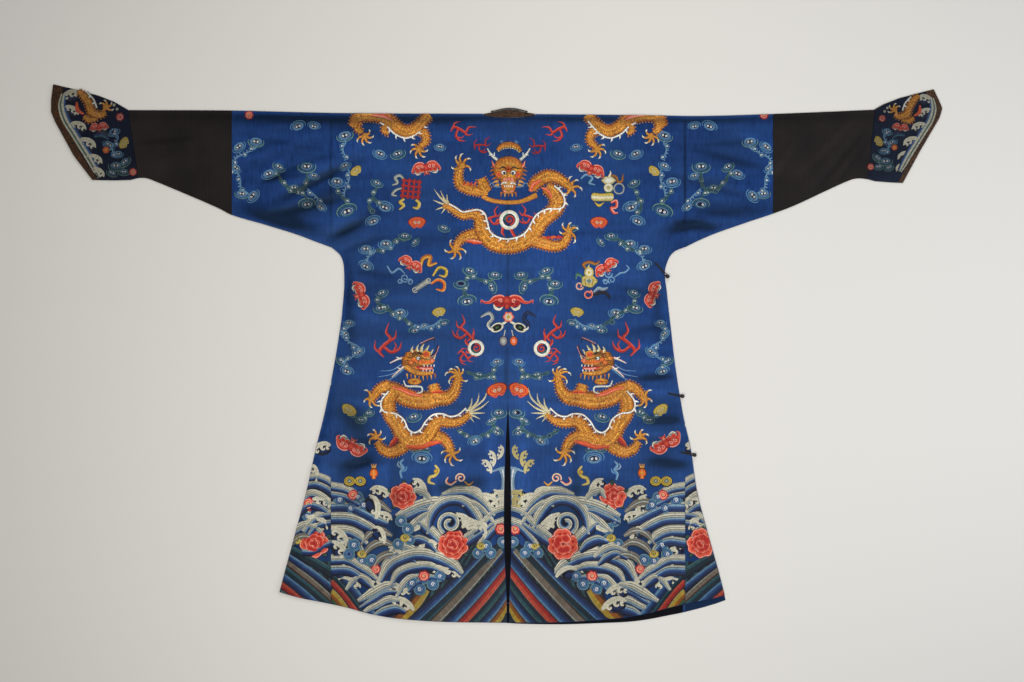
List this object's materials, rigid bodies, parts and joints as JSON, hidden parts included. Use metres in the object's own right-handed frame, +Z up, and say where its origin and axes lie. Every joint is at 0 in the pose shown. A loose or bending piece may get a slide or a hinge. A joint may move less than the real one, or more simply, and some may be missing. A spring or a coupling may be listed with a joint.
{
  "type": "chinese dragon robe",
  "caption": "Long-sleeved silk robe laid out flat with its back upwards, hoof-shaped cuffs and a back vent.",
  "frame": {"origin": "under the middle of the robe's box, on the surface that the robe lies on", "axes": "+X towards the cuff on the wearer's right, +Y from the hem to the neck, +Z up, out of the robe's back"},
  "size_m": [2.1371, 1.2975, 0.0144],
  "materials": {
    "blue_silk": "embroidered silk satin",
    "dark_silk": "fine ribbed silk",
    "cuff_silk": "embroidered silk satin",
    "brocade": "brocade ribbon with metal thread",
    "lining_silk": "plain silk lining",
    "black_cord": "bound silk cord"
  },
  "bodies": {
    "root": {"body_left": "blue_silk", "body_right": "blue_silk", "front_overlap": "blue_silk", "gore_back_left": "blue_silk", "gore_back_right": "blue_silk", "gore_front_left": "blue_silk", "gore_front_right": "blue_silk", "sleeve_upper_left": "blue_silk", "sleeve_upper_right": "blue_silk", "sleeve_lower_left": "dark_silk", "sleeve_lower_right": "dark_silk", "cuff_left": "cuff_silk", "cuff_right": "cuff_silk", "cuff_border_left": "brocade", "cuff_border_right": "brocade", "neck_band": "brocade", "neck_piping": "black_cord", "lining_vent": "lining_silk", "lining_hem": "lining_silk", "loop_1": "black_cord", "loop_2": "black_cord", "loop_3": "black_cord", "button_1": "black_cord", "button_2": "black_cord", "button_3": "black_cord"}
  },
  "joints": []
}
